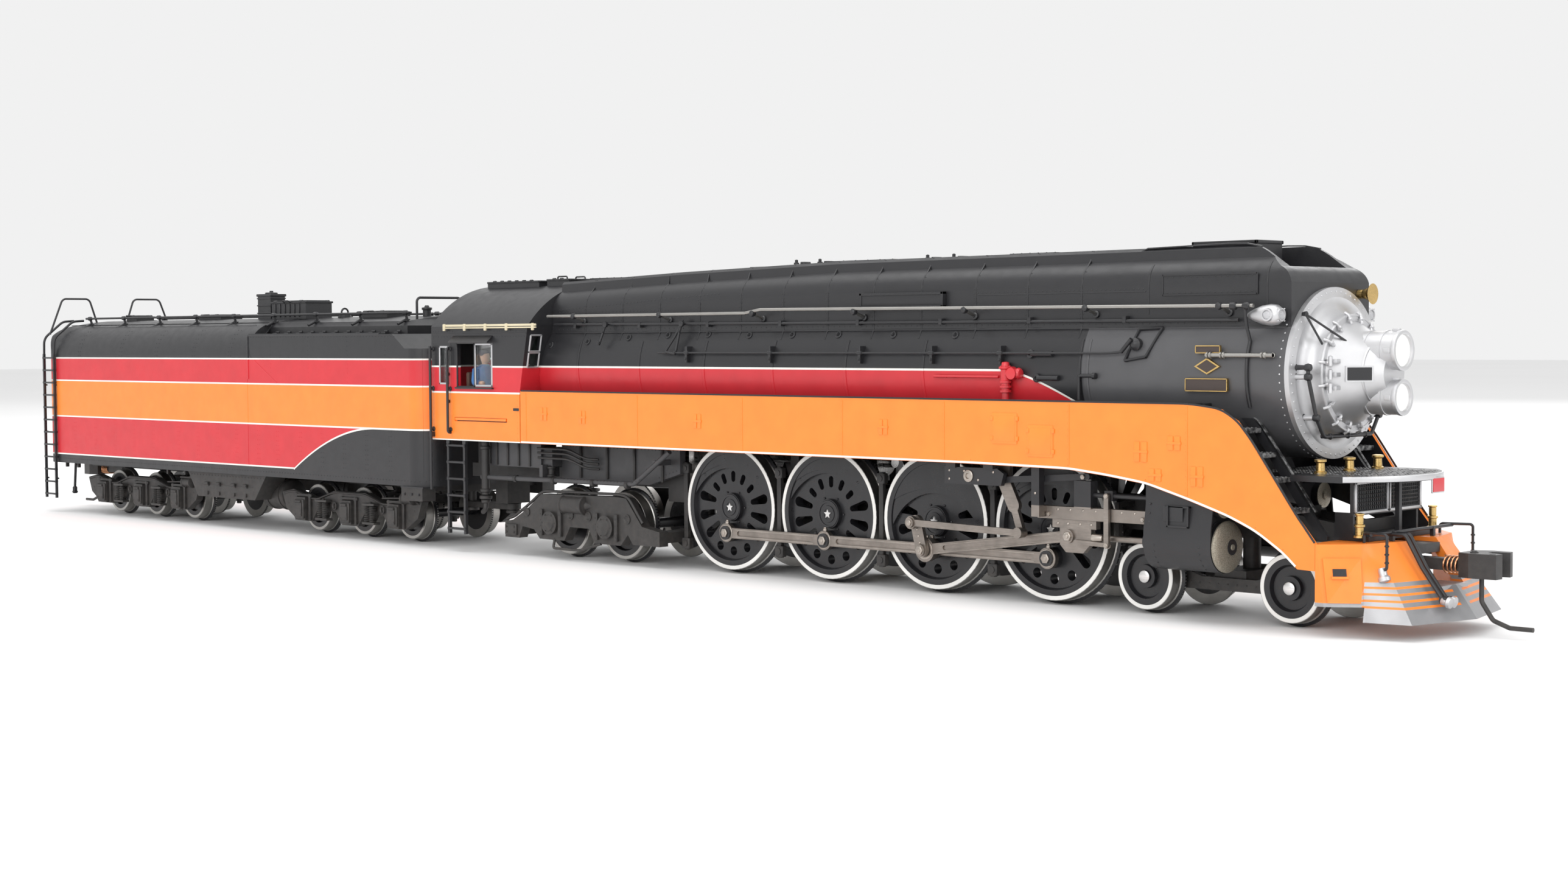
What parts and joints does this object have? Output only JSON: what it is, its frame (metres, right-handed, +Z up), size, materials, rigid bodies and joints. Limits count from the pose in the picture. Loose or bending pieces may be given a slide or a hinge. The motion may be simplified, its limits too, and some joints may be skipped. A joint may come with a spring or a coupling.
{
  "type": "model steam locomotive with tender",
  "caption": "Scale model of a streamlined steam locomotive with turning wheels, working rods, swivelling trucks and a coupled tender.",
  "frame": {"origin": "middle of the model's length and width, on the surface the wheel flanges stand on", "axes": "+X towards the front of the locomotive, +Y to its left (fireman's) side, +Z up"},
  "size_m": [0.413, 0.038, 0.0582],
  "materials": {
    "black_paint": "satin",
    "silver_paint": "metallic satin",
    "lens": "clear",
    "brass_trim": "satin",
    "bare_steel": "satin",
    "window": "clear",
    "dark_metal": "matt",
    "figure": "matt",
    "orange_paint": "satin",
    "rod_metal": "satin",
    "motor": "satin",
    "coupler": "matt",
    "wheel": "satin"
  },
  "bodies": {
    "locomotive": {"boiler_shell": "black_paint", "smokebox_front": "silver_paint", "headlight_lenses": "lens", "boiler_fittings": "brass_trim", "handrails": "bare_steel", "cab_shell": "black_paint", "cab_glass": "window", "cab_interior": "dark_metal", "engineer_figure": "figure", "cab_ladders": "bare_steel", "right_skirt": "orange_paint", "left_skirt": "orange_paint", "pilot": "orange_paint", "pilot_deck": "dark_metal", "pilot_fittings": "bare_steel", "chassis_frame": "dark_metal", "cylinder_block": "dark_metal", "crosshead_guides": "rod_metal", "link_brackets": "rod_metal", "ash_pan": "dark_metal", "motor_can": "motor"},
    "driver_2": {"driver_wheelset_2": "wheel", "return_cranks": "rod_metal"},
    "driver_1": {"driver_wheelset_1": "wheel"},
    "driver_3": {"driver_wheelset_3": "wheel", "worm_gear": "brass_trim"},
    "driver_4": {"driver_wheelset_4": "wheel"},
    "motor_rotor": {"motor_shaft": "bare_steel"},
    "side_rod_right": {"side_rod_right": "rod_metal"},
    "side_rod_left": {"side_rod_left": "rod_metal"},
    "main_rod_right": {"main_rod_right": "rod_metal"},
    "main_rod_left": {"main_rod_left": "rod_metal"},
    "eccentric_rod_right": {"eccentric_rod_right": "rod_metal"},
    "eccentric_rod_left": {"eccentric_rod_left": "rod_metal"},
    "crosshead_right": {"crosshead_right": "rod_metal"},
    "crosshead_left": {"crosshead_left": "rod_metal"},
    "expansion_link_right": {"expansion_link_right": "rod_metal"},
    "expansion_link_left": {"expansion_link_left": "rod_metal"},
    "combination_lever_right": {"combination_lever_right": "rod_metal"},
    "combination_lever_left": {"combination_lever_left": "rod_metal"},
    "lead_truck": {"lead_truck_frame": "dark_metal"},
    "lead_wheels_1": {"lead_wheelset_1": "wheel"},
    "lead_wheels_2": {"lead_wheelset_2": "wheel"},
    "trailing_truck": {"trailing_truck_frame": "dark_metal"},
    "trailing_wheels_1": {"trailing_wheelset_1": "wheel"},
    "trailing_wheels_2": {"trailing_wheelset_2": "wheel"},
    "drawbar": {"drawbar": "dark_metal"},
    "tender": {"tender_shell": "black_paint", "tender_underframe": "dark_metal", "tender_fittings": "dark_metal"},
    "tender_front_truck": {"tender_front_truck_frame": "dark_metal"},
    "tender_rear_truck": {"tender_rear_truck_frame": "dark_metal"},
    "front_coupler": {"front_coupler": "coupler"},
    "rear_coupler": {"rear_coupler": "coupler"},
    "tender_front_wheels_1": {"tender_front_wheelset_1": "wheel"},
    "tender_front_wheels_2": {"tender_front_wheelset_2": "wheel"},
    "tender_front_wheels_3": {"tender_front_wheelset_3": "wheel"},
    "tender_rear_wheels_1": {"tender_rear_wheelset_1": "wheel"},
    "tender_rear_wheels_2": {"tender_rear_wheelset_2": "wheel"},
    "tender_rear_wheels_3": {"tender_rear_wheelset_3": "wheel"}
  },
  "joints": [
    {"name": "driver_2_spin", "type": "hinge", "parent": "locomotive", "child": "driver_2", "pos_m": [0.10275, 0, 0.01236], "axis": [0, 1, 0], "continuous": true},
    {"name": "driver_1_spin", "type": "hinge", "parent": "locomotive", "child": "driver_1", "pos_m": [0.12783, 0, 0.01236], "axis": [0, 1, 0], "continuous": true},
    {"name": "driver_3_spin", "type": "hinge", "parent": "locomotive", "child": "driver_3", "pos_m": [0.07767, 0, 0.01236], "axis": [0, 1, 0], "continuous": true},
    {"name": "driver_4_spin", "type": "hinge", "parent": "locomotive", "child": "driver_4", "pos_m": [0.05259, 0, 0.01236], "axis": [0, 1, 0], "continuous": true},
    {"name": "motor_shaft_spin", "type": "hinge", "parent": "locomotive", "child": "motor_rotor", "pos_m": [0.04275, 0, 0.0214], "axis": [1, 0, 0], "continuous": true},
    {"name": "side_rod_right_pin", "type": "hinge", "parent": "driver_2", "child": "side_rod_right", "pos_m": [0.10275, -0.01075, 0.00769], "axis": [0, 1, 0], "continuous": true},
    {"name": "main_rod_right_pin", "type": "hinge", "parent": "driver_2", "child": "main_rod_right", "pos_m": [0.10275, -0.01215, 0.00769], "axis": [0, 1, 0], "continuous": true},
    {"name": "eccentric_rod_right_pin", "type": "hinge", "parent": "driver_2", "child": "eccentric_rod_right", "pos_m": [0.10155, -0.0146, 0.01239], "axis": [0, 1, 0], "continuous": true},
    {"name": "side_rod_left_pin", "type": "hinge", "parent": "driver_2", "child": "side_rod_left", "pos_m": [0.10742, 0.01075, 0.01236], "axis": [0, 1, 0], "continuous": true},
    {"name": "main_rod_left_pin", "type": "hinge", "parent": "driver_2", "child": "main_rod_left", "pos_m": [0.10742, 0.01215, 0.01236], "axis": [0, 1, 0], "continuous": true},
    {"name": "eccentric_rod_left_pin", "type": "hinge", "parent": "driver_2", "child": "eccentric_rod_left", "pos_m": [0.10275, 0.0146, 0.01116], "axis": [0, 1, 0], "continuous": true},
    {"name": "crosshead_right_slide", "type": "slide", "parent": "locomotive", "child": "crosshead_right", "axis": [1, 0, 0], "range_m": [-0.0044, 0.00494]},
    {"name": "expansion_link_right_pivot", "type": "hinge", "parent": "locomotive", "child": "expansion_link_right", "pos_m": [0.12105, -0.0137, 0.0204], "axis": [0, -1, 0], "range_deg": [0, 17.46]},
    {"name": "combination_lever_right_pivot", "type": "hinge", "parent": "locomotive", "child": "combination_lever_right", "pos_m": [0.14265, -0.0149, 0.0187], "axis": [0, -1, 0], "range_deg": [-32.5, 36.4]},
    {"name": "crosshead_left_slide", "type": "slide", "parent": "locomotive", "child": "crosshead_left", "axis": [1, 0, 0], "range_m": [-0.00934, 0]},
    {"name": "expansion_link_left_pivot", "type": "hinge", "parent": "locomotive", "child": "expansion_link_left", "pos_m": [0.12105, 0.0137, 0.0204], "axis": [0, -1, 0], "range_deg": [-8.13, 9.32]},
    {"name": "combination_lever_left_pivot", "type": "hinge", "parent": "locomotive", "child": "combination_lever_left", "pos_m": [0.14265, 0.0149, 0.0187], "axis": [0, -1, 0], "range_deg": [-68.8, 0]},
    {"name": "lead_truck_swivel", "type": "hinge", "parent": "locomotive", "child": "lead_truck", "pos_m": [0.1596, 0, 0.0057], "axis": [0, 0, 1], "range_deg": [-3, 3]},
    {"name": "lead_wheels_1_spin", "type": "hinge", "parent": "lead_truck", "child": "lead_wheels_1", "pos_m": [0.17275, 0, 0.00595], "axis": [0, 1, 0], "continuous": true},
    {"name": "lead_wheels_2_spin", "type": "hinge", "parent": "lead_truck", "child": "lead_wheels_2", "pos_m": [0.14645, 0, 0.00595], "axis": [0, 1, 0], "continuous": true},
    {"name": "trailing_truck_swivel", "type": "hinge", "parent": "locomotive", "child": "trailing_truck", "pos_m": [0.03645, 0, 0.0057], "axis": [0, 0, 1], "range_deg": [-3, 3]},
    {"name": "trailing_wheels_1_spin", "type": "hinge", "parent": "trailing_truck", "child": "trailing_wheels_1", "pos_m": [0.02275, 0, 0.0073], "axis": [0, 1, 0], "continuous": true},
    {"name": "trailing_wheels_2_spin", "type": "hinge", "parent": "trailing_truck", "child": "trailing_wheels_2", "pos_m": [0.00595, 0, 0.0073], "axis": [0, 1, 0], "continuous": true},
    {"name": "drawbar_swing", "type": "hinge", "parent": "locomotive", "child": "drawbar", "pos_m": [-0.02425, 0, 0.0083], "axis": [0, 0, 1], "range_deg": [-6, 6]},
    {"name": "tender_swing", "type": "hinge", "parent": "drawbar", "child": "tender", "pos_m": [-0.03825, 0, 0.0083], "axis": [0, 0, 1], "range_deg": [-6, 6]},
    {"name": "tender_front_truck_swivel", "type": "hinge", "parent": "tender", "child": "tender_front_truck", "pos_m": [-0.06435, 0, 0.0082], "axis": [0, 0, 1], "range_deg": [-6, 6]},
    {"name": "tender_front_wheels_1_spin", "type": "hinge", "parent": "tender_front_truck", "child": "tender_front_wheels_1", "pos_m": [-0.04665, 0, 0.00595], "axis": [0, 1, 0], "continuous": true},
    {"name": "tender_front_wheels_2_spin", "type": "hinge", "parent": "tender_front_truck", "child": "tender_front_wheels_2", "pos_m": [-0.06435, 0, 0.00595], "axis": [0, 1, 0], "continuous": true},
    {"name": "tender_front_wheels_3_spin", "type": "hinge", "parent": "tender_front_truck", "child": "tender_front_wheels_3", "pos_m": [-0.08205, 0, 0.00595], "axis": [0, 1, 0], "continuous": true},
    {"name": "tender_rear_truck_swivel", "type": "hinge", "parent": "tender", "child": "tender_rear_truck", "pos_m": [-0.15315, 0, 0.0082], "axis": [0, 0, 1], "range_deg": [-6, 6]},
    {"name": "tender_rear_wheels_1_spin", "type": "hinge", "parent": "tender_rear_truck", "child": "tender_rear_wheels_1", "pos_m": [-0.13545, 0, 0.00595], "axis": [0, 1, 0], "continuous": true},
    {"name": "tender_rear_wheels_2_spin", "type": "hinge", "parent": "tender_rear_truck", "child": "tender_rear_wheels_2", "pos_m": [-0.15315, 0, 0.00595], "axis": [0, 1, 0], "continuous": true},
    {"name": "tender_rear_wheels_3_spin", "type": "hinge", "parent": "tender_rear_truck", "child": "tender_rear_wheels_3", "pos_m": [-0.17085, 0, 0.00595], "axis": [0, 1, 0], "continuous": true},
    {"name": "front_coupler_swing", "type": "hinge", "parent": "locomotive", "child": "front_coupler", "pos_m": [0.18725, 0, 0.0102], "axis": [0, 0, 1], "range_deg": [-8, 8]},
    {"name": "rear_coupler_swing", "type": "hinge", "parent": "tender", "child": "rear_coupler", "pos_m": [-0.18725, 0, 0.0102], "axis": [0, 0, 1], "range_deg": [-8, 8]}
  ],
  "couplings": [
    {"joint": "driver_1_spin", "follows": "driver_2_spin", "ratio": 1},
    {"joint": "driver_3_spin", "follows": "driver_2_spin", "ratio": 1},
    {"joint": "driver_4_spin", "follows": "driver_2_spin", "ratio": 1},
    {"joint": "motor_shaft_spin", "follows": "driver_2_spin", "ratio": 28},
    {"joint": "side_rod_right_pin", "follows": "driver_2_spin", "ratio": -1},
    {"joint": "main_rod_right_pin", "follows": "driver_2_spin", "ratio": -1},
    {"joint": "eccentric_rod_right_pin", "follows": "driver_2_spin", "ratio": -1},
    {"joint": "side_rod_left_pin", "follows": "driver_2_spin", "ratio": -1},
    {"joint": "main_rod_left_pin", "follows": "driver_2_spin", "ratio": -1},
    {"joint": "eccentric_rod_left_pin", "follows": "driver_2_spin", "ratio": -1},
    {"joint": "combination_lever_right_pivot", "follows": "crosshead_right_slide", "rad_per_m": 128.21},
    {"joint": "combination_lever_left_pivot", "follows": "crosshead_left_slide", "rad_per_m": 128.21}
  ]
}
